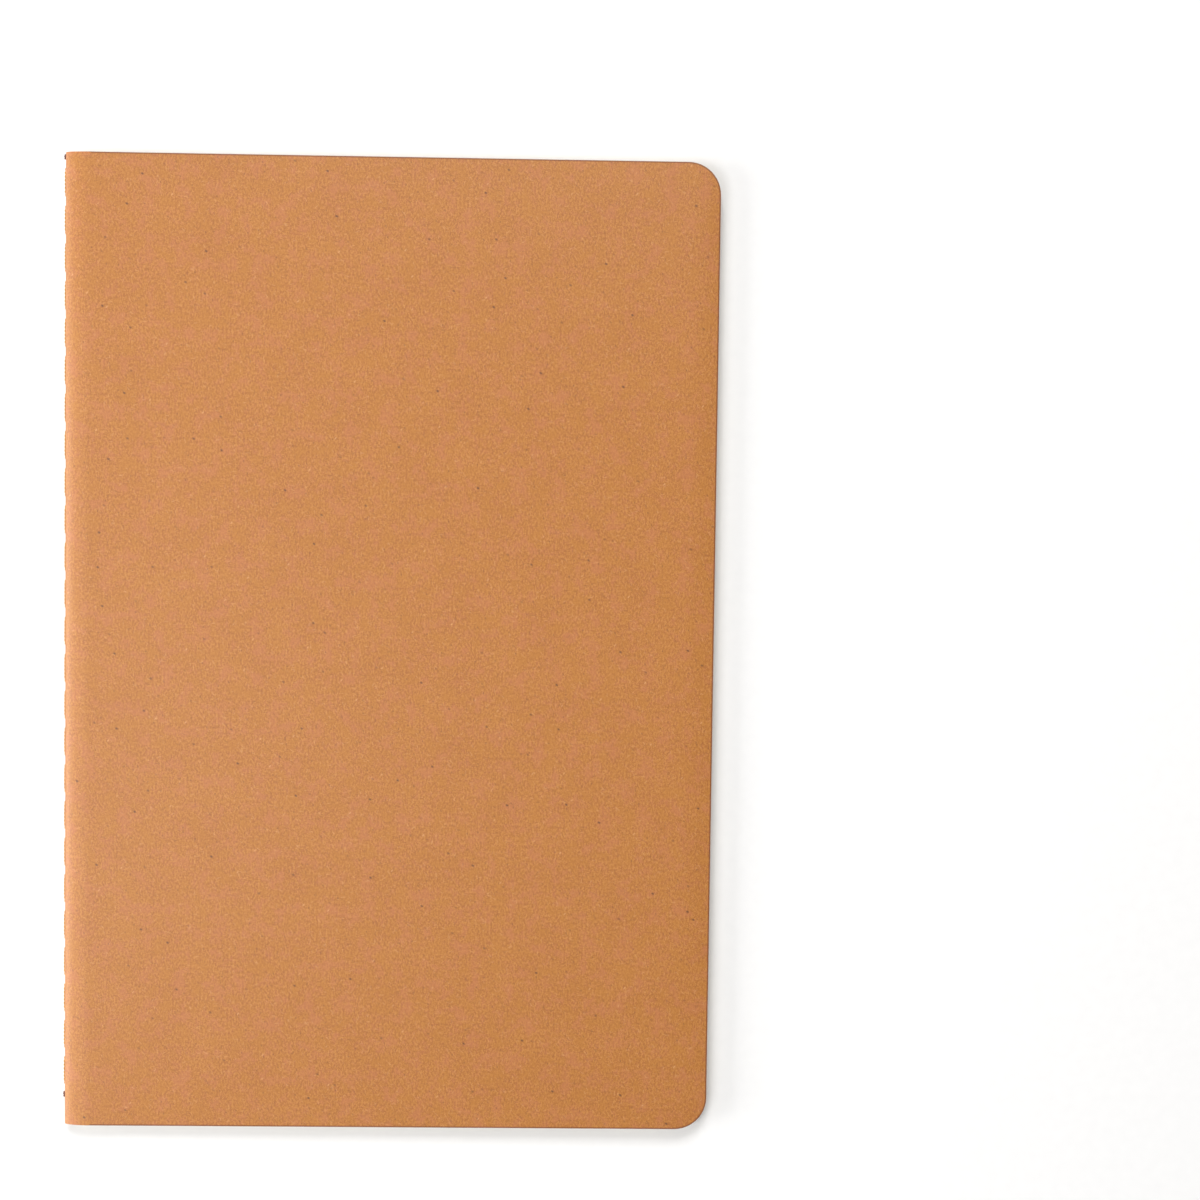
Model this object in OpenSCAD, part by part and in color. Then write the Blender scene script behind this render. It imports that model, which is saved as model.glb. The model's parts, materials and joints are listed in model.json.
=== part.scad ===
// Soft-cover notebook: one section of folded sheets in a folded kraft card cover,
// machine-sewn through the fold. It lies closed on its back cover, spine towards -X.

/* [Cover and pages] */
// Closed width, from the outside of the spine to the fore-edge
book_w = 140; // [90:1:160]
// Height, from the tail edge to the head edge
book_h = 210; // [120:1:260]
// Thickness of the closed notebook
book_t = 4; // [4:0.1:6]
// Thickness of the kraft card cover
cover_t = 0.35; // [0.25:0.05:0.45]
// Number of folded sheets, each of which gives two leaves
sheet_count = 15; // [6:1:15]
// Thickness of one leaf
leaf_t = 0.1; // [0.08:0.01:0.1]
// Radius of the rounded fore-edge corners of the cover and the leaves
corner_r = 7; // [3:0.5:12]

/* [Sewing] */
// Diameter of the sewing thread
thread_d = 0.6; // [0.4:0.05:0.6]
// Distance from one needle hole to the next
stitch_pitch = 8; // [5:0.5:12]
// Diameter of a needle hole
hole_d = 0.7; // [0.65:0.05:0.9]
// Distance from the tail edge to the first needle hole
tail_margin = 7.7; // [6:0.1:12]
// Diameter of the knot at each end of the thread
knot_d = 0.7; // [0.6:0.05:0.75]
// Length of each knot along the spine
knot_len = 1.4; // [1:0.1:2]

/* [Hinge line] */
// Distance from the fold axis to where the flat leaves and cover boards begin
hinge_gap = 0.8; // [0.7:0.1:2]

/* [Hidden] */
half_t = book_t / 2;
sheet_pitch = (half_t - cover_t) / sheet_count;
leaf_slack = sheet_pitch - leaf_t;
leaf_count = 2 * sheet_count;
edge_gap = 0.02;                      // clearance between a folded edge and its flat board or leaf
corner_step = 11.25;                  // angle between the points of a rounded corner

knot_inset = 0.05;                    // the knots' axis lies this far outside the spine
knot_proud = knot_d / 2 + knot_inset;
spine_x = (knot_proud - book_w) / 2;  // outside of the spine, with the whole part centred on X
fold_x = spine_x + half_t;            // axis that every fold bends about, at height half_t
fore_x = spine_x + book_w;
board_x = fold_x + hinge_gap;

head_margin = 2;
hole_count = floor((book_h - tail_margin - head_margin) / stitch_pitch) + 1;
first_hole_y = tail_margin - book_h / 2;
last_hole_y = first_hole_y + (hole_count - 1) * stitch_pitch;
hole_overrun = 0.1;                   // needle holes start this far inside the fold axis
leg_d = thread_d - 0.04;              // the thread is a little tighter where it passes the paper
bed_clear = 0.01;                     // clearance between the thread and its bed in the cover
lock_x = fold_x - 0.85;               // where the two threads lock inside the paper
knot_reach = 0.6;                     // the outer thread runs on this far to each knot

kraft = "#cf9765";
cream = "#f5ecd6";
amber = "#c98a2c";
russet = "#6e2c18";

function two_digits(i) = str(i < 10 ? "0" : "", i);
function leaf_name(i) = str("leaf_", two_digits(i));
function fold_name(i) = str("fold_", two_digits(i));

// Outside radius of a sheet's fold; sheet 1 lies against the cover
function fold_r(sheet) = half_t - cover_t - leaf_slack / 2 - (sheet - 1) * sheet_pitch;

function arc(x, y, r, from, to) =
    [for (a = [from:corner_step:to]) [x + r * cos(a), y + r * sin(a)]];

// Flat board or leaf, square at the spine and rounded at the fore-edge
module flat_panel(z, thickness) {
    top_y = book_h / 2;
    translate([0, 0, z])
        linear_extrude(height = thickness)
            polygon(concat(
                [[board_x, -top_y]],
                arc(fore_x - corner_r, corner_r - top_y, corner_r, -90, 0),
                arc(fore_x - corner_r, top_y - corner_r, corner_r, 0, 90),
                [[board_x, top_y]]
            ));
}

// Folded edge about the fold axis: half a ring with a short flat at each end
module folded_edge(r, thickness) {
    flat_len = hinge_gap - edge_gap;
    translate([fold_x, 0, half_t])
        rotate([90, 0, 0])
            linear_extrude(height = book_h, center = true) {
                intersection() {
                    difference() {
                        circle(r = r, $fn = 64);
                        circle(r = r - thickness, $fn = 64);
                    }
                    translate([-r, -r])
                        square([r, 2 * r]);
                }
                for (low = [-r, r - thickness])
                    translate([0, low])
                        square([flat_len, thickness]);
            }
}

module at_each_hole() {
    for (i = [0:hole_count - 1])
        translate([0, first_hole_y + i * stitch_pitch, half_t])
            children();
}

module needle_holes() {
    at_each_hole()
        translate([fold_x + hole_overrun, 0, 0])
            rotate([0, -90, 0])
                cylinder(d = hole_d, h = half_t + 2 * hole_overrun, $fn = 24);
}

// Straight round length along Y at height half_t
module rod_y(x, from_y, to_y, d) {
    translate([x, to_y, half_t])
        rotate([90, 0, 0])
            cylinder(d = d, h = to_y - from_y, $fn = 32);
}

// Thread between two X positions, through every needle hole
module thread_legs(from_x, to_x) {
    at_each_hole()
        translate([from_x, 0, 0])
            rotate([0, 90, 0])
                cylinder(d = leg_d, h = to_x - from_x, $fn = 24);
}

module outer_run(extra_d = 0) {
    rod_y(spine_x, first_hole_y - knot_reach, last_hole_y + knot_reach, thread_d + extra_d);
}

module knot_barrel(from_y, extra_d = 0) {
    rod_y(spine_x - knot_inset, from_y, from_y + knot_len, knot_d + extra_d);
}

module head_barrel(extra_d = 0) {
    knot_barrel(last_hole_y + knot_reach, extra_d);
}

module tail_barrel(extra_d = 0) {
    knot_barrel(first_hole_y - knot_reach - knot_len, extra_d);
}

module front_cover() {
    color(kraft)
        flat_panel(book_t - cover_t, cover_t);
}

module back_cover() {
    color(kraft)
        flat_panel(0, cover_t);
}

// The card between the two boards, wrapped round the spine, with the thread pulled into it
module cover_spine() {
    color(kraft)
        difference() {
            folded_edge(half_t, cover_t);
            needle_holes();
            outer_run(2 * bed_clear);
            head_barrel(2 * bed_clear);
            tail_barrel(2 * bed_clear);
        }
}

// Leaves are counted from the front; leaf i and leaf leaf_count + 1 - i are one sheet
module leaf(i) {
    front = i <= sheet_count;
    r = fold_r(front ? i : leaf_count + 1 - i);
    color(cream)
        flat_panel(front ? half_t + r - leaf_t : half_t - r, leaf_t);
}

module fold(sheet) {
    color(cream)
        difference() {
            folded_edge(fold_r(sheet), leaf_t);
            needle_holes();
        }
}

module outer_thread() {
    color(amber) {
        outer_run();
        thread_legs(spine_x, lock_x);
    }
}

module inner_thread() {
    run_x = fold_x + thread_d / 2;
    color(amber) {
        rod_y(run_x, first_hole_y, book_h / 2, thread_d);
        thread_legs(lock_x, run_x);
    }
}

module head_knot() {
    color(russet)
        head_barrel();
}

module tail_knot() {
    color(russet)
        tail_barrel();
}

front_cover();
back_cover();
cover_spine();
for (i = [1:leaf_count])
    leaf(i);
for (i = [1:sheet_count])
    fold(i);
outer_thread();
inner_thread();
head_knot();
tail_knot();
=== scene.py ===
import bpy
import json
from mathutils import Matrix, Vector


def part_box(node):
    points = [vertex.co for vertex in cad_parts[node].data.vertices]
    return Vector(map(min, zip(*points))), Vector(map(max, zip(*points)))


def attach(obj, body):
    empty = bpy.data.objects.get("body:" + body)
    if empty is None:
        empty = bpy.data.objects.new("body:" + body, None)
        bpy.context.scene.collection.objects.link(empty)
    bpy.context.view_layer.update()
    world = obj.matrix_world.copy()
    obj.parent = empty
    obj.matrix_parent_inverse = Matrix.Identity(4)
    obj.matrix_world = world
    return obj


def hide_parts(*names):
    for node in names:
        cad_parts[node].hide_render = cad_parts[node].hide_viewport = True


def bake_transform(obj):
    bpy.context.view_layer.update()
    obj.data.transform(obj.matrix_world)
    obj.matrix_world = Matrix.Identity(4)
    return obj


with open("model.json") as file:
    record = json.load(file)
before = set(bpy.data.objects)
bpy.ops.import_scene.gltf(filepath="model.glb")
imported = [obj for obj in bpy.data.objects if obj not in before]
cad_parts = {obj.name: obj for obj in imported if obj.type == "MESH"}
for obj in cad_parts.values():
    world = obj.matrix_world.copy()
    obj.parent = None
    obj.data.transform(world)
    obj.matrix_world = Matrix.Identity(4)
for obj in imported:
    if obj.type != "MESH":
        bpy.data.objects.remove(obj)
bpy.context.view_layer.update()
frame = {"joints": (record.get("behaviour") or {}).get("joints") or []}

import json
import math
import random

import bmesh
import bpy
from mathutils import Vector

# Pieces are modelled in millimetres and brought to metres when they are finished.
mm = 0.001
joints = {joint["name"]: joint for joint in frame["joints"]}
bpy.context.scene.view_settings.view_transform = "Standard"


def nodeBox(name):
    low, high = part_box(name)
    return [c / mm for c in low], [c / mm for c in high]


coverLow, coverHigh = nodeBox("front_cover")
spineLow = nodeBox("cover_spine")[0]
threadLow, threadHigh = nodeBox("outer_thread")
book = {
    "foldX": joints["centre_opening"]["pos_m"][0] / mm,   # axis that the sheets fold about
    "foldZ": joints["centre_opening"]["pos_m"][2] / mm,
    "foreX": coverHigh[0],
    "topY": coverHigh[1],
    "spineX": spineLow[0],
    "halfThick": coverHigh[2] / 2,
    "cardThick": coverHigh[2] - coverLow[2],
    "cornerRadius": 7.0,
    "rollLength": 5.5,       # the card starts to roll this far in from the spine
    "sheetCount": 15,
    "seamX": 0.1,            # where the two cover pieces meet, past the fold axis
}
book["rollX"] = book["spineX"] + book["rollLength"]


def selectOnly(piece):
    bpy.ops.object.select_all(action="DESELECT")
    piece.select_set(True)
    bpy.context.view_layer.objects.active = piece


def applyPlace(piece):
    selectOnly(piece)
    bpy.ops.object.transform_apply(location=True, rotation=True, scale=True)


def openMesh(piece):
    selectOnly(piece)
    bpy.ops.object.mode_set(mode="EDIT")
    bpy.ops.mesh.select_mode(type="VERT")
    bpy.ops.mesh.select_all(action="DESELECT")


def closeMesh():
    bpy.ops.object.mode_set(mode="OBJECT")


def pick(piece, test):
    # Selects the points that pass the test, and the edges and faces between them
    mesh = bmesh.from_edit_mesh(piece.data)
    bpy.ops.mesh.select_all(action="DESELECT")
    for point in mesh.verts:
        point.select = test(point.co)
    mesh.select_flush(True)
    bmesh.update_edit_mesh(piece.data)


def extrudeBy(x=0.0, y=0.0, z=0.0):
    bpy.ops.mesh.extrude_region_move(TRANSFORM_OT_translate={"value": (x, y, z)})


def useModifier(piece, kind, **settings):
    modifier = piece.modifiers.new(kind.title(), kind)
    for key, value in settings.items():
        setattr(modifier, key, value)
    bpy.context.view_layer.objects.active = piece
    bpy.ops.object.modifier_apply(modifier=modifier.name)


def toMetres(piece, smoothAngle=30):
    piece.scale = (mm, mm, mm)
    applyPlace(piece)
    bpy.ops.object.shade_smooth_by_angle(angle=math.radians(smoothAngle))


def rename(name):
    piece = bpy.context.object
    piece.name = name
    piece.data.name = name
    return piece


def smoothStep(share):
    share = min(max(share, 0.0), 1.0)
    return share * share * (3 - 2 * share)


def linear(hexText):
    # sRGB hex to the linear colour that shader sockets take
    parts = [int(hexText[i:i + 2], 16) / 255 for i in (1, 3, 5)]
    return [p / 12.92 if p <= 0.04045 else ((p + 0.055) / 1.055) ** 2.4 for p in parts] + [1.0]


def addNode(tree, kind, settings=None, links=None):
    node = tree.nodes.new(kind)
    for key, value in (settings or {}).items():
        if isinstance(key, str) and key[0].islower():
            setattr(node, key, value)
        else:
            node.inputs[key].default_value = value
    for key, source in (links or {}).items():
        tree.links.new(source, node.inputs[key])
    return node


def startMaterial(name):
    material = bpy.data.materials.new(name)
    material.use_nodes = True
    return material, material.node_tree, material.node_tree.nodes["Principled BSDF"]


def paint(tree, colour, hexText, mask):
    # Lays one colour over another where the mask says
    layer = addNode(tree, "ShaderNodeMix", {"data_type": "RGBA", 7: linear(hexText)}, {0: mask, 6: colour})
    return layer.outputs[2]


def flecks(tree, where, angle, width, length, spacing, share, seed):
    # Short straight marks of one width and length in mm, one in each cell that the share lets through
    stretch = length / width
    turned = addNode(tree, "ShaderNodeMapping", {
        "vector_type": "TEXTURE", "Rotation": (0, 0, math.radians(angle)),
        "Location": (seed * 7.3, seed * 3.1, 0),
        "Scale": (spacing, spacing * stretch, 1)}, {"Vector": where})
    cells = addNode(tree, "ShaderNodeTexVoronoi", {"voronoi_dimensions": "2D", "Scale": 1.0},
                    {"Vector": turned.outputs[0]})
    reach = width / 2 / spacing
    mark = addNode(tree, "ShaderNodeMapRange", {"From Min": reach * 1.15, "From Max": reach * 0.45},
                   {"Value": cells.outputs["Distance"]})
    lot = addNode(tree, "ShaderNodeSeparateColor", None, {0: cells.outputs["Color"]})
    let = addNode(tree, "ShaderNodeMapRange", {"From Min": 1 - share, "From Max": 1 - share * 0.2},
                  {"Value": lot.outputs[0]})
    return addNode(tree, "ShaderNodeMath", {"operation": "MULTIPLY"},
                   {0: mark.outputs[0], 1: let.outputs[0]}).outputs[0]


def scaled(tree, value, factor):
    return addNode(tree, "ShaderNodeMath", {"operation": "MULTIPLY", 1: factor}, {0: value}).outputs[0]


# Kraft card: uncoated, unbleached recycled board, so the eye gets a warm brown with soft
# upright mottling, dark and pale fibres, small specks and almost no gloss

kraft = {
    "mid": "#b47027", "light": "#c38138", "dark": "#a45f1c", "rose": "#bc7142", "ochre": "#b6741e",
    "fibreDark": "#7c4517", "fibrePale": "#d9a36c", "speck": "#5a2e10",
    "roughness": 0.5, "gloss": 0.7, "sheen": 0.22,
    "cloudMm": 9.0, "cloudShare": 0.12,   # formation clouds in the board
    "streakMm": (0.42, 0.62), # grain: narrower across, longer along the height
    "toothMm": 0.22, "toothShare": 0.4,   # the fine tooth of the surface
    "patchMm": 4.0,          # the card turns pinker and yellower in patches this wide
    "bumpMm": 0.016,
}


def kraftMaterial(name, tint=None):
    material, tree, shader = startMaterial(name)
    paper = addNode(tree, "ShaderNodeUVMap", {"uv_map": "paperMm"}).outputs[0]
    wander = addNode(tree, "ShaderNodeTexNoise", {"noise_dimensions": "2D", "Scale": 0.9, "Detail": 2.0},
                     {"Vector": paper})
    bent = addNode(tree, "ShaderNodeVectorMath", {"operation": "MULTIPLY_ADD", 1: (0.9, 0.9, 0)},
                   {0: wander.outputs["Color"], 2: paper}).outputs[0]
    clouds = addNode(tree, "ShaderNodeTexNoise",
                     {"noise_dimensions": "2D", "Scale": 1 / kraft["cloudMm"],
                      "Detail": 4.0, "Roughness": 0.6},
                     {"Vector": paper}).outputs["Fac"]
    upright = addNode(tree, "ShaderNodeMapping",
                      {"vector_type": "TEXTURE", "Scale": (kraft["streakMm"][0], kraft["streakMm"][1], 1)},
                      {"Vector": paper}).outputs[0]
    streaks = addNode(tree, "ShaderNodeTexNoise",
                      {"noise_dimensions": "2D", "Scale": 1.0, "Detail": 4.0, "Roughness": 0.7},
                      {"Vector": upright}).outputs["Fac"]
    tooth = addNode(tree, "ShaderNodeTexNoise",
                    {"noise_dimensions": "2D", "Scale": 1 / kraft["toothMm"], "Detail": 1.0},
                    {"Vector": paper}).outputs["Fac"]
    soft = addNode(tree, "ShaderNodeMath", {"operation": "MULTIPLY_ADD", 1: kraft["cloudShare"]},
                   {0: clouds, 2: streaks}).outputs[0]
    both = addNode(tree, "ShaderNodeMath", {"operation": "MULTIPLY_ADD", 1: kraft["toothShare"]},
                   {0: tooth, 2: soft}).outputs[0]
    tone = addNode(tree, "ShaderNodeValToRGB", None, {0: both})
    ramp = tone.color_ramp.elements
    ramp[0].position = 0.61
    ramp[0].color = linear(kraft["dark"])
    ramp[1].position = 0.91
    ramp[1].color = linear(kraft["light"])
    middle = ramp.new(0.76)
    middle.color = linear(kraft["mid"])
    hue = addNode(tree, "ShaderNodeTexNoise",
                  {"noise_dimensions": "2D", "Scale": 1 / kraft["patchMm"], "Detail": 4.0, "Roughness": 0.7},
                  {"Vector": paper})
    blush = addNode(tree, "ShaderNodeMapRange", {"From Min": 0.5, "From Max": 0.66, "To Max": 0.5},
                    {"Value": hue.outputs["Fac"]}).outputs[0]
    colour = paint(tree, tone.outputs[0], kraft["rose"], blush)
    yellowed = addNode(tree, "ShaderNodeMapRange", {"From Min": 0.5, "From Max": 0.34, "To Max": 0.5},
                       {"Value": hue.outputs["Fac"]}).outputs[0]
    colour = paint(tree, colour, kraft["ochre"], yellowed)
    # Fibres lie every way, more of them near the upright grain direction
    for index, angle in enumerate((8, -24, 38, 82)):
        dark = flecks(tree, bent, angle, 0.17, 1.3, 0.8, 0.5, index + 1)
        colour = paint(tree, colour, kraft["fibreDark"], scaled(tree, dark, 0.36))
        pale = flecks(tree, bent, angle + 17, 0.17, 1.0, 0.9, 0.45, index + 6)
        colour = paint(tree, colour, kraft["fibrePale"], scaled(tree, pale, 0.34))
    dust = flecks(tree, paper, 15, 0.34, 0.5, 2.2, 0.55, 12)
    colour = paint(tree, colour, kraft["speck"], scaled(tree, dust, 0.42))
    specks = flecks(tree, paper, 60, 0.52, 0.75, 7.0, 0.6, 14)
    colour = paint(tree, colour, kraft["speck"], scaled(tree, specks, 0.8))
    chips = flecks(tree, paper, -40, 0.32, 0.7, 5.0, 0.4, 17)
    colour = paint(tree, colour, kraft["fibrePale"], scaled(tree, chips, 0.6))
    if tint:
        colour = addNode(tree, "ShaderNodeMix",
                         {"data_type": "RGBA", "blend_type": "MULTIPLY", 0: 1.0, 7: linear(tint)},
                         {6: colour}).outputs[2]
    tree.links.new(colour, shader.inputs["Base Color"])
    height = addNode(tree, "ShaderNodeBump", {"Strength": 0.5, "Distance": kraft["bumpMm"] * mm},
                     {"Height": streaks})
    tree.links.new(height.outputs[0], shader.inputs["Normal"])
    rough = addNode(tree, "ShaderNodeMapRange",
                    {"To Min": kraft["roughness"] - 0.05, "To Max": kraft["roughness"] + 0.05},
                    {"Value": streaks})
    tree.links.new(rough.outputs[0], shader.inputs["Roughness"])
    shader.inputs["IOR"].default_value = 1.5
    shader.inputs["Specular IOR Level"].default_value = kraft["gloss"]
    # Raised fibres catch the light at a glancing angle, as on the rolled spine
    shader.inputs["Sheen Weight"].default_value = kraft["sheen"]
    shader.inputs["Sheen Roughness"].default_value = 0.5
    return material


kraftCard = kraftMaterial("uncoatedKraftCard")
# The same card tinted greyer and darker, for the board's rim and a thin band along its edge on the top face
kraftGreyedEdge = kraftMaterial("kraftGreyedEdgeBand", "#c2b09c")


# Page paper: uncoated cream text paper, matt and faintly cloudy, with fine darker fibres

page = {"mid": "#e9e0ca", "light": "#eee7d6", "fibre": "#d6cab0", "roughness": 0.8, "cloudMm": 3.0}


def pageMaterial():
    material, tree, shader = startMaterial("uncoatedCreamPaper")
    paper = addNode(tree, "ShaderNodeUVMap", {"uv_map": "paperMm"}).outputs[0]
    clouds = addNode(tree, "ShaderNodeTexNoise",
                     {"noise_dimensions": "2D", "Scale": 1 / page["cloudMm"],
                      "Detail": 5.0, "Roughness": 0.65},
                     {"Vector": paper}).outputs["Fac"]
    tone = addNode(tree, "ShaderNodeMapRange", {"From Min": 0.35, "From Max": 0.65},
                   {"Value": clouds}).outputs[0]
    colour = addNode(tree, "ShaderNodeMix",
                     {"data_type": "RGBA", 6: linear(page["mid"]), 7: linear(page["light"])},
                     {0: tone}).outputs[2]
    for index, angle in enumerate((12, 70)):
        fibre = flecks(tree, paper, angle, 0.14, 1.1, 0.9, 0.5, index + 3)
        colour = paint(tree, colour, page["fibre"], scaled(tree, fibre, 0.3))
    tree.links.new(colour, shader.inputs["Base Color"])
    height = addNode(tree, "ShaderNodeBump", {"Strength": 0.3, "Distance": 0.01 * mm}, {"Height": clouds})
    tree.links.new(height.outputs[0], shader.inputs["Normal"])
    shader.inputs["Roughness"].default_value = page["roughness"]
    shader.inputs["IOR"].default_value = 1.45
    return material


creamPaper = pageMaterial()


# Sewing thread: two-ply twisted polyester, amber, with a soft shine on each turn of the twist

thread = {
    "amber": "#c98a2c", "gold": "#e7b557", "deep": "#8a4a12", "roughness": 0.38,
    "fibreMm": (0.05, 0.5),
    "plyRadius": 0.155, "plyOffset": 0.14, "plySides": 6,
    "twistMm": 1.6,          # length of one whole turn
    "stepsPerTurn": 8,
    "pitch": 8.0, "holeCount": 26, "firstHoleY": -97.3,
    "gutterGap": 0.3, "gutterSquash": 0.6,   # the inside run lies this far in, and flatter
    "dip": 0.33, "dipAt": 3.4,   # the thread's top is level with the card this far from the middle
}


def threadMaterial():
    material, tree, shader = startMaterial("twistedAmberThread")
    place = addNode(tree, "ShaderNodeTexCoord").outputs["Object"]
    fibreSize = (thread["fibreMm"][0] * mm, thread["fibreMm"][1] * mm, thread["fibreMm"][0] * mm)
    along = addNode(tree, "ShaderNodeMapping", {"vector_type": "TEXTURE", "Scale": fibreSize},
                    {"Vector": place})
    fibres = addNode(tree, "ShaderNodeTexNoise", {"Scale": 1.0, "Detail": 2.0}, {"Vector": along.outputs[0]})
    tone = addNode(tree, "ShaderNodeValToRGB", None, {0: fibres.outputs["Fac"]})
    ramp = tone.color_ramp.elements
    ramp[0].position = 0.3
    ramp[0].color = linear(thread["deep"])
    ramp[1].position = 0.72
    ramp[1].color = linear(thread["gold"])
    ramp.new(0.5).color = linear(thread["amber"])
    tree.links.new(tone.outputs[0], shader.inputs["Base Color"])
    height = addNode(tree, "ShaderNodeBump", {"Strength": 0.5, "Distance": 0.03 * mm},
                     {"Height": fibres.outputs["Fac"]})
    tree.links.new(height.outputs[0], shader.inputs["Normal"])
    shader.inputs["Roughness"].default_value = thread["roughness"]
    shader.inputs["Sheen Weight"].default_value = 0.25
    return material


amberThread = threadMaterial()


# Sealed knot: the thread's end knotted and touched with russet glue, dark with small wet highlights

knot = {
    "russet": "#6e2c18", "wet": "#3f150b", "roughness": 0.3, "lumpMm": 0.3,
    "turns": ((-0.36, 22, 0.2), (0.02, -18, 0.23), (0.38, 26, 0.19)),   # along, tilt and radius of each turn
    "turnRadius": 0.14, "tailRadius": 0.11,
}


def knotMaterial():
    material, tree, shader = startMaterial("gluedRussetKnot")
    place = addNode(tree, "ShaderNodeTexCoord").outputs["Object"]
    lumps = addNode(tree, "ShaderNodeTexNoise", {"Scale": 1 / (knot["lumpMm"] * mm), "Detail": 3.0},
                    {"Vector": place}).outputs["Fac"]
    colour = addNode(tree, "ShaderNodeMix",
                     {"data_type": "RGBA", 6: linear(knot["wet"]), 7: linear(knot["russet"])}, {0: lumps})
    tree.links.new(colour.outputs[2], shader.inputs["Base Color"])
    height = addNode(tree, "ShaderNodeBump", {"Strength": 0.6, "Distance": 0.05 * mm}, {"Height": lumps})
    tree.links.new(height.outputs[0], shader.inputs["Normal"])
    shader.inputs["Roughness"].default_value = knot["roughness"]
    shader.inputs["Coat Weight"].default_value = 0.4
    return material


russetKnot = knotMaterial()


# Needle hole: torn card fibre, painted nearly black red-brown as painted shade inside the pocket

def holeShadeMaterial():
    material, tree, shader = startMaterial("needleHolePaintedShade")
    place = addNode(tree, "ShaderNodeTexCoord").outputs["Object"]
    torn = addNode(tree, "ShaderNodeTexNoise", {"Scale": 1 / (0.15 * mm), "Detail": 2.0}, {"Vector": place})
    colour = addNode(tree, "ShaderNodeMix", {"data_type": "RGBA", 6: linear("#2a0d05"), 7: linear("#5a2a12")},
                     {0: torn.outputs["Fac"]})
    tree.links.new(colour.outputs[2], shader.inputs["Base Color"])
    shader.inputs["Roughness"].default_value = 0.9
    return material


holePaintedShade = holeShadeMaterial()
print("materials made")


# Folded paper: every sheet and the card cover are one run of card or paper, from the back
# fore-edge round the spine to the front fore-edge

def paperRun(name, offset, flatHeight, trim, ringSteps, tapers):
    # offset: from the outside of the spine to the middle of the paper
    # flatHeight: height of its flat above the fold
    ringX, ringZ = book["rollLength"] - offset, book["halfThick"] - offset
    midZ, rollX = book["foldZ"], book["rollX"]
    foreX = book["foreX"] - trim[0]
    deep, high = 2 * (book["topY"] - trim[1]), flatHeight
    farX = rollX + tapers[-1]
    bpy.ops.mesh.primitive_plane_add(size=1)
    piece = rename(name)
    openMesh(piece)
    bpy.ops.mesh.select_all(action="SELECT")
    bpy.ops.transform.resize(value=(foreX - farX, deep, 1))
    bpy.ops.transform.translate(value=((foreX + farX) / 2, 0, midZ - high))
    pick(piece, lambda p: p.x < farX + 0.01)

    def heightAt(step):
        return high + (ringZ - high) * (1 - smoothStep(step / tapers[-1]))

    inward = list(reversed(tapers)) + [0.0]
    outward = list(reversed(inward))
    for before, after in zip(inward, inward[1:]):
        extrudeBy(x=after - before, z=-(heightAt(after) - heightAt(before)))
    bpy.ops.mesh.spin(steps=ringSteps, angle=-math.pi, center=(rollX, 0, midZ), axis=(0, 1, 0),
                      use_auto_merge=False)
    for before, after in zip(outward, outward[1:]):
        extrudeBy(x=after - before, z=heightAt(after) - heightAt(before))
    extrudeBy(x=foreX - farX)
    pick(piece, lambda p: p.x < rollX - 0.001)
    bpy.ops.transform.resize(value=(ringX / ringZ, 1, 1), center_override=(rollX, 0, midZ))
    # Rounded fore-edge corners
    pick(piece, lambda p: p.x > foreX - 0.01)
    bpy.ops.mesh.bevel(offset=book["cornerRadius"] - trim[0], segments=12, affect="VERTICES",
                       clamp_overlap=True)
    bpy.ops.mesh.select_all(action="SELECT")
    bpy.ops.mesh.normals_make_consistent(inside=False)
    closeMesh()
    return piece, ringX, ringZ


def unrollUv(piece, ringX, ringZ, shift):
    # Lays the piece's pattern out flat in millimetres, so that the grain runs on round the spine
    layer = piece.data.uv_layers.new(name="paperMm")

    def runTo(turn):
        # Length of the roll from the outside of the spine round to this turn
        places = [(ringX * math.cos(turn * i / 24), ringZ * math.sin(turn * i / 24)) for i in range(25)]
        return sum(math.dist(a, b) for a, b in zip(places, places[1:]))

    quarter = runTo(math.pi / 2)
    points = piece.data.vertices
    for loop in piece.data.loops:
        place = points[loop.vertex_index].co
        side = 1 if place.z >= book["foldZ"] else -1
        if place.x >= book["rollX"]:
            run = quarter + place.x - book["rollX"]
        else:
            turn = math.atan2(abs(place.z - book["foldZ"]) / ringZ, (book["rollX"] - place.x) / ringX)
            run = runTo(turn)
        layer.data[loop.index].uv = (side * run + shift[0], place.y + shift[1])


sheet = {
    "thick": 0.09,           # a little under the CAD's leaf, so that the section can breathe at the fold
    "foldPitch": 0.0912,     # the sheets are pressed together at the fold
    "tapers": (1.5, 3.0, 4.5, 6.5, 9.0, 12.0),
    "trimMm": (0.12, 0.06),  # the leaves' edges aren't quite flush
}
lots = random.Random(21)
for k in range(1, book["sheetCount"] + 1):
    front, back = f"leaf_{k:02d}", f"leaf_{31 - k:02d}"
    leafLow, leafHigh = nodeBox(front)
    flatHeight = (leafLow[2] + leafHigh[2]) / 2 - book["foldZ"]
    offset = book["cardThick"] + 0.05 + (k - 1) * sheet["foldPitch"]
    trim = [lots.random() * most for most in sheet["trimMm"]]
    piece, ringX, ringZ = paperRun(f"sheet{k:02d}", offset, flatHeight, trim,
                                   24 if k < 8 else 16, sheet["tapers"])
    useModifier(piece, "SOLIDIFY", thickness=sheet["thick"], offset=0.0)
    unrollUv(piece, ringX, ringZ, (k * 37.0, k * 19.0))
    piece.data.materials.append(creamPaper)
    toMetres(piece)
    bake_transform(piece)
    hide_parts(front, back, f"fold_{k:02d}")
print("sheets folded:", book["sheetCount"])


# Cover: one folded card, with a pressed bed for the thread and a needle pocket at every stitch, painted dark as
# painted shade

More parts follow.
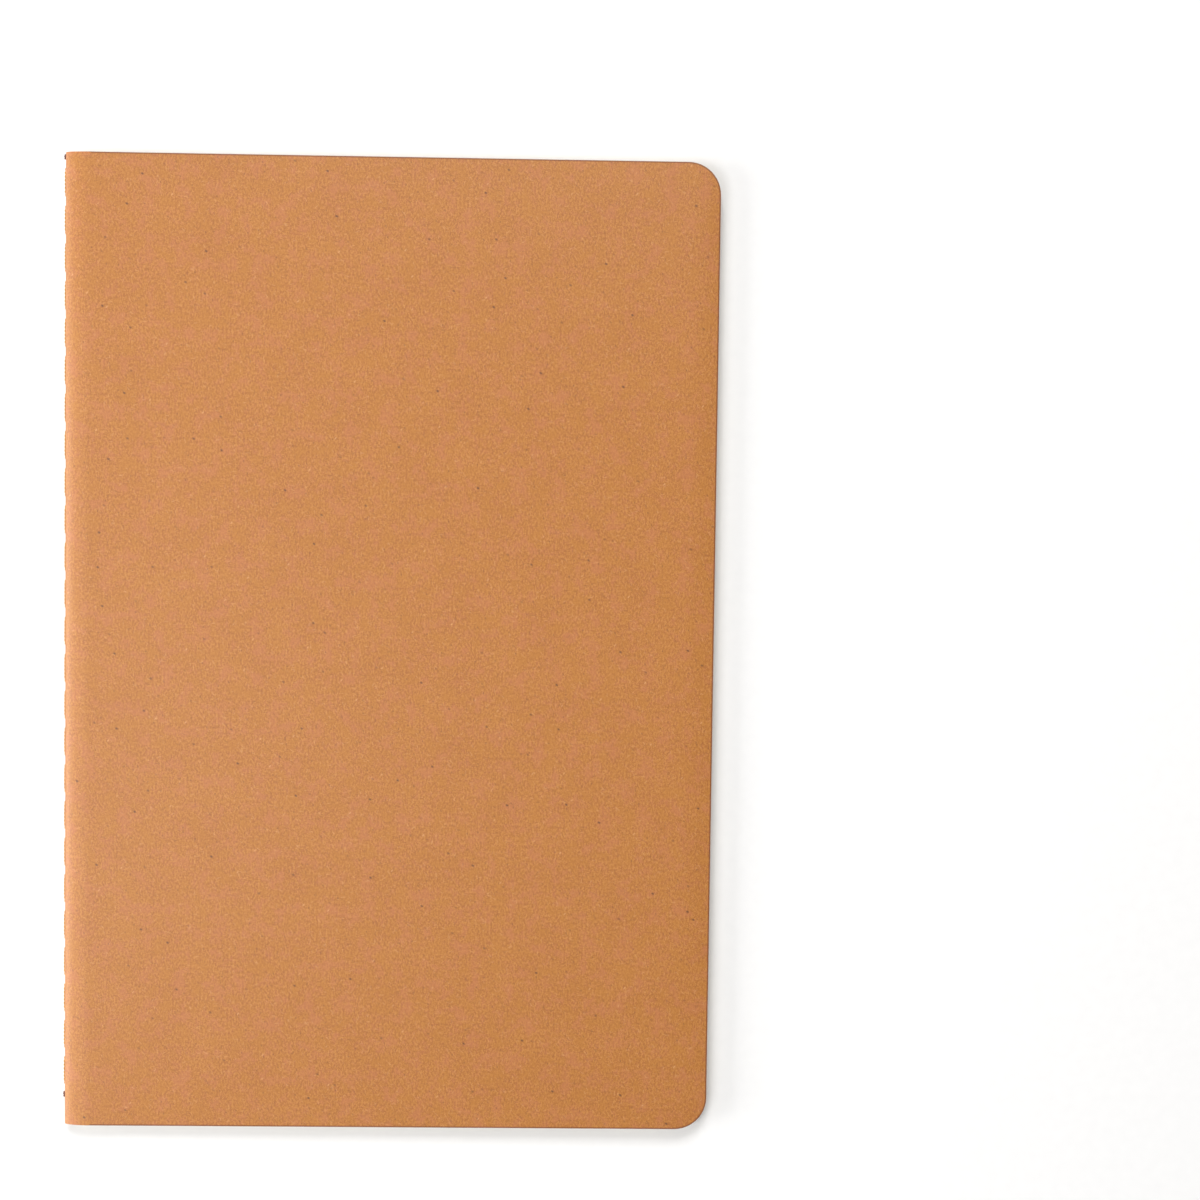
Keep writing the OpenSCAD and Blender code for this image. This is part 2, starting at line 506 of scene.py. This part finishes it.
cover = {
    "ringSteps": 60, "tapers": (12.0,),
    "bedRadius": 0.33, "bedSides": 16,
    "holeHalfLong": 0.5, "holeHalfHigh": 0.42,
    "holeDeep": 0.495, "holeProud": 0.15,   # the cutter starts outside, so a pocket is 0.345 deep
    "pressWide": 0.3, "pressDeep": 0.05,
    "spineBend": (0.7, 3.3),     # two heights on the spine
    "crease": (0.15, 1.9),       # two distances past the seam
}


def edgeGap(p):
    # How far inside the board's outline a point lies, leaving out the spine
    reach = book["cornerRadius"]
    fromX, fromY = p.x - (book["foreX"] - reach), abs(p.y) - (book["topY"] - reach)
    if fromX > 0 and fromY > 0:
        return reach - math.hypot(fromX, fromY)
    return reach - max(fromX, fromY)


def coverCutters():
    lastHoleY = thread["firstHoleY"] + (thread["holeCount"] - 1) * thread["pitch"]
    long = threadHigh[1] - threadLow[1]
    bpy.ops.mesh.primitive_cylinder_add(
        vertices=cover["bedSides"], radius=cover["bedRadius"], depth=long, rotation=(math.pi / 2, 0, 0),
        location=(book["spineX"], (threadHigh[1] + threadLow[1]) / 2, book["foldZ"]))
    bed = rename("bedCutter")
    bpy.ops.mesh.primitive_cone_add(
        vertices=4, radius1=1.0, radius2=0.7, depth=cover["holeDeep"], rotation=(0, math.pi / 2, 0),
        location=(book["spineX"] - cover["holeProud"] + cover["holeDeep"] / 2, thread["firstHoleY"], book["foldZ"]))
    holes = rename("holeCutter")
    applyPlace(holes)
    openMesh(holes)
    bpy.ops.mesh.select_all(action="SELECT")
    bpy.ops.transform.resize(value=(1, cover["holeHalfLong"], cover["holeHalfHigh"]),
                             center_override=(book["spineX"], thread["firstHoleY"], book["foldZ"]))
    closeMesh()
    useModifier(holes, "ARRAY", count=thread["holeCount"], use_relative_offset=False,
                use_constant_offset=True, constant_offset_displace=(0, thread["pitch"], 0))
    holes.data.materials.append(holePaintedShade)
    print("cutters made, last hole at", round(lastHoleY, 1))
    return bed, holes


def dropPiece(piece):
    bpy.data.objects.remove(piece, do_unlink=True)


coverOffset = book["cardThick"] / 2
coverBack, ringX, ringZ = paperRun("coverBack", coverOffset, book["halfThick"] - coverOffset,
                                   (0.0, 0.0), cover["ringSteps"], cover["tapers"])
coverBack.data.materials.append(kraftCard)
coverBack.data.materials.append(kraftGreyedEdge)
coverBack.data.materials.append(holePaintedShade)
useModifier(coverBack, "SOLIDIFY", thickness=book["cardThick"], offset=0.0, material_offset_rim=1)
bedCutter, holeCutter = coverCutters()
useModifier(coverBack, "BOOLEAN", operation="DIFFERENCE", object=bedCutter, solver="EXACT")
# The cut faces of the needle pockets take the hole material, painted shade
useModifier(coverBack, "BOOLEAN", operation="DIFFERENCE", object=holeCutter, solver="EXACT",
            material_mode="TRANSFER")
dropPiece(bedCutter)
dropPiece(holeCutter)
unrollUv(coverBack, ringX, ringZ, (0.0, 0.0))

# The front board is split off just past the fold, because it swings on its own crease
selectOnly(coverBack)
bpy.ops.object.duplicate()
coverFront = rename("coverFront")
seam = book["foldX"] + book["seamX"]
for piece, keepsFront in ((coverBack, False), (coverFront, True)):
    openMesh(piece)
    pick(piece, lambda p: p.z > book["foldZ"] + 0.05)
    bpy.ops.mesh.bisect(plane_co=(seam, 0, 0), plane_no=(1, 0, 0), use_fill=True, threshold=1e-6,
                        clear_inner=keepsFront, clear_outer=not keepsFront)
    if keepsFront:
        pick(piece, lambda p: p.z < book["foldZ"] + 0.05 or p.x < seam - 0.01)
        bpy.ops.mesh.delete(type="VERT")
        # The trimmed edge of the front board is pressed a little thinner by the blade
        top = book["foldZ"] + book["halfThick"]
        pick(piece, lambda p: p.z > top - 0.01 and p.x > book["rollX"] - 0.01)
        bpy.ops.mesh.inset(thickness=cover["pressWide"], use_boundary=True)
        pick(piece, lambda p: p.z > top - 0.01 and p.x > book["rollX"] + 0.5 and edgeGap(p) < 0.1)
        bpy.ops.transform.translate(value=(0, 0, -cover["pressDeep"]))
    closeMesh()
    if keepsFront:
        # The top face's thin band along the edge takes the greyer, darker tint, so the outline reads as a thin
        # darker line
        for face in piece.data.polygons:
            if face.normal.z > 0.9 and edgeGap(face.center) < cover["pressWide"]:
                face.material_index = 1
    toMetres(piece, 25)
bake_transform(coverBack)
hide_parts("back_cover", "cover_spine")
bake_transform(coverFront)
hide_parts("front_cover")
print("cover folded, faces:", len(coverBack.data.polygons), len(coverFront.data.polygons))


# Thread: one stitch of two twisted plies is made, and repeated from hole to hole

def stitchRun(name, axisX, outward, squash, count, firstY, depthScale=1.0):
    sides, radius, away = thread["plySides"], thread["plyRadius"], thread["plyOffset"]
    turns = thread["pitch"] / thread["twistMm"]
    steps = int(turns * thread["stepsPerTurn"])
    rise = thread["pitch"] / steps

    def sink(y):
        middle = abs(y - thread["pitch"] / 2)
        return thread["dip"] * depthScale * (middle / thread["dipAt"]) ** 6

    first = (axisX - outward * sink(0.0), 0.0, book["foldZ"])
    bpy.ops.mesh.primitive_circle_add(vertices=sides, radius=radius, rotation=(math.pi / 2, 0, 0),
                                      location=(first[0], 0, first[2] + away))
    piece = rename(name)
    applyPlace(piece)
    openMesh(piece)
    bpy.ops.mesh.select_all(action="SELECT")
    bpy.ops.mesh.duplicate_move(TRANSFORM_OT_translate={"value": (0, 0, -2 * away)})
    bpy.ops.mesh.select_all(action="SELECT")
    for step in range(steps):
        y = (step + 1) * rise
        shift = -outward * (sink(y) - sink(y - rise))
        extrudeBy(x=shift, y=rise)
        bpy.ops.transform.rotate(value=2 * math.pi / thread["stepsPerTurn"], orient_axis="Y",
                                 center_override=(axisX - outward * sink(y), y, book["foldZ"]))
    bpy.ops.mesh.select_all(action="SELECT")
    bpy.ops.transform.resize(value=(1, 1, squash), center_override=(axisX, 0, book["foldZ"]))
    bpy.ops.transform.translate(value=(0, firstY, 0))
    bpy.ops.mesh.normals_make_consistent(inside=False)
    closeMesh()
    useModifier(piece, "ARRAY", count=count, use_relative_offset=False, use_constant_offset=True,
                constant_offset_displace=(0, thread["pitch"], 0), use_merge_vertices=True,
                merge_threshold=0.001)
    return piece


def closeEnds(piece):
    openMesh(piece)
    bpy.ops.mesh.select_non_manifold()
    bpy.ops.mesh.fill_holes(sides=0)
    bpy.ops.mesh.select_all(action="SELECT")
    bpy.ops.mesh.normals_make_consistent(inside=False)
    closeMesh()


def sewThread(name, node, axisX, outward, squash, depthScale=1.0):
    piece = stitchRun(name, axisX, outward, squash, thread["holeCount"] - 1, thread["firstHoleY"], depthScale)
    closeEnds(piece)
    piece.data.materials.append(amberThread)
    toMetres(piece, 60)
    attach(piece, "spine")
    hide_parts(node)


sewThread("outerThread", "outer_thread", book["spineX"], -1, 1.0)
sewThread("innerThread", "inner_thread", book["foldX"] + thread["gutterGap"], 1, thread["gutterSquash"], 0.6)
print("thread sewn, stitches:", thread["holeCount"] - 1)


# Knots: the thread wrapped round itself three times, with two cut tails

def knotPiece(name, node, outwardY):
    low, high = nodeBox(node)
    centre = [(a + b) / 2 for a, b in zip(low, high)]
    parts = []
    for along, tilt, wide in knot["turns"]:
        bpy.ops.mesh.primitive_torus_add(
            major_radius=wide, minor_radius=knot["turnRadius"], major_segments=16, minor_segments=8,
            location=(centre[0], centre[1] + along, centre[2]),
            rotation=(math.pi / 2 + math.radians(tilt), 0, 0))
        parts.append(bpy.context.object)
    for side in (-1, 1):
        bpy.ops.mesh.primitive_circle_add(vertices=6, radius=knot["tailRadius"], fill_type="NGON",
                                          rotation=(math.pi / 2, 0, 0),
                                          location=(centre[0], centre[1], centre[2] + side * 0.12))
        tail = bpy.context.object
        applyPlace(tail)
        openMesh(tail)
        bpy.ops.mesh.select_all(action="SELECT")
        for rise in (0.24, 0.2, 0.16):
            extrudeBy(x=-0.02, y=outwardY * rise, z=side * 0.07)
        closeMesh()
        parts.append(tail)
    bpy.ops.object.select_all(action="DESELECT")
    for part in parts:
        part.select_set(True)
    bpy.context.view_layer.objects.active = parts[0]
    bpy.ops.object.join()
    piece = rename(name)
    bpy.ops.object.transform_apply(location=True, rotation=True, scale=True)
    useModifier(piece, "REMESH", mode="VOXEL", voxel_size=0.04)
    useModifier(piece, "SMOOTH", factor=0.5, iterations=2)
    piece.data.materials.clear()
    piece.data.materials.append(russetKnot)
    toMetres(piece, 60)
    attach(piece, "spine")
    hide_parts(node)
    return piece


knotPiece("headKnot", "head_knot", 1)
knotPiece("tailKnot", "tail_knot", -1)
print("knots tied")


# Floor, lights and camera

studio = {
    "floorMetres": 6.0, "floor": ("#f6f5f4", "#faf9f8"),
    "skyLow": 0.62, "skyHigh": 0.3,      # the room is a little brighter near the horizon
    "keyLight": {"at": (-0.42, -0.22, 1.00), "size": 0.5, "watts": 4.0},
    "headLight": {"at": (-0.05, 1.50, 1.50), "size": 0.9, "watts": 27.0},
    "leftLight": {"at": (-0.70, -0.10, 0.24), "size": 0.5, "watts": 4.5},
}
bpy.ops.mesh.primitive_plane_add(size=studio["floorMetres"])
floor = rename("floor")
openMesh(floor)
bpy.ops.mesh.select_all(action="SELECT")
bpy.ops.mesh.subdivide(number_cuts=3)
bpy.ops.transform.translate(value=(0, 0, -0.05 * mm))
closeMesh()


def floorMaterial():
    # Matt white studio sheet, evenly pale with the faintest tooth
    material, tree, shader = startMaterial("mattWhiteSheet")
    place = addNode(tree, "ShaderNodeTexCoord").outputs["Object"]
    tooth = addNode(tree, "ShaderNodeTexNoise", {"Scale": 400.0, "Detail": 2.0}, {"Vector": place})
    colour = addNode(tree, "ShaderNodeMix",
                     {"data_type": "RGBA", 6: linear(studio["floor"][0]), 7: linear(studio["floor"][1])},
                     {0: tooth.outputs["Fac"]})
    tree.links.new(colour.outputs[2], shader.inputs["Base Color"])
    shader.inputs["Roughness"].default_value = 0.95
    shader.inputs["Specular IOR Level"].default_value = 0.1
    return material


floor.data.materials.append(floorMaterial())


def aimAt(thing, target):
    thing.rotation_euler = (Vector(target) - thing.location).to_track_quat("-Z", "Y").to_euler()


for name in ("keyLight", "headLight", "leftLight"):
    light = studio[name]
    bpy.ops.object.light_add(type="AREA", location=light["at"])
    lamp = bpy.context.object
    lamp.name = name
    lamp.data.shape = "SQUARE"
    lamp.data.size = light["size"]
    lamp.data.energy = light["watts"]
    aimAt(lamp, (0, 0, 0))

world = bpy.data.worlds.new("paleRoom")
bpy.context.scene.world = world
world.use_nodes = True
sky = world.node_tree.nodes["Background"]
direction = addNode(world.node_tree, "ShaderNodeTexCoord").outputs["Generated"]
upward = addNode(world.node_tree, "ShaderNodeSeparateXYZ", None, {0: direction}).outputs["Z"]
strength = addNode(world.node_tree, "ShaderNodeMapRange",
                   {"From Max": 0.4, "To Min": studio["skyLow"], "To Max": studio["skyHigh"]},
                   {"Value": upward})
world.node_tree.links.new(strength.outputs[0], sky.inputs["Strength"])
sky.inputs["Color"].default_value = (1, 1, 1, 1)

view = {"at": (0.0322, 0.0388, 0.5086), "turn": (-3.19, -1.46, 0.79), "lens": 70.2}
bpy.ops.object.camera_add(location=view["at"], rotation=[math.radians(a) for a in view["turn"]])
camera = bpy.context.object
camera.name = "studioCamera"
camera.data.lens = view["lens"]
camera.data.sensor_width = 36
camera.data.dof.use_dof = False
camera.data.clip_start = 0.01
bpy.context.scene.camera = camera
print("studio set")
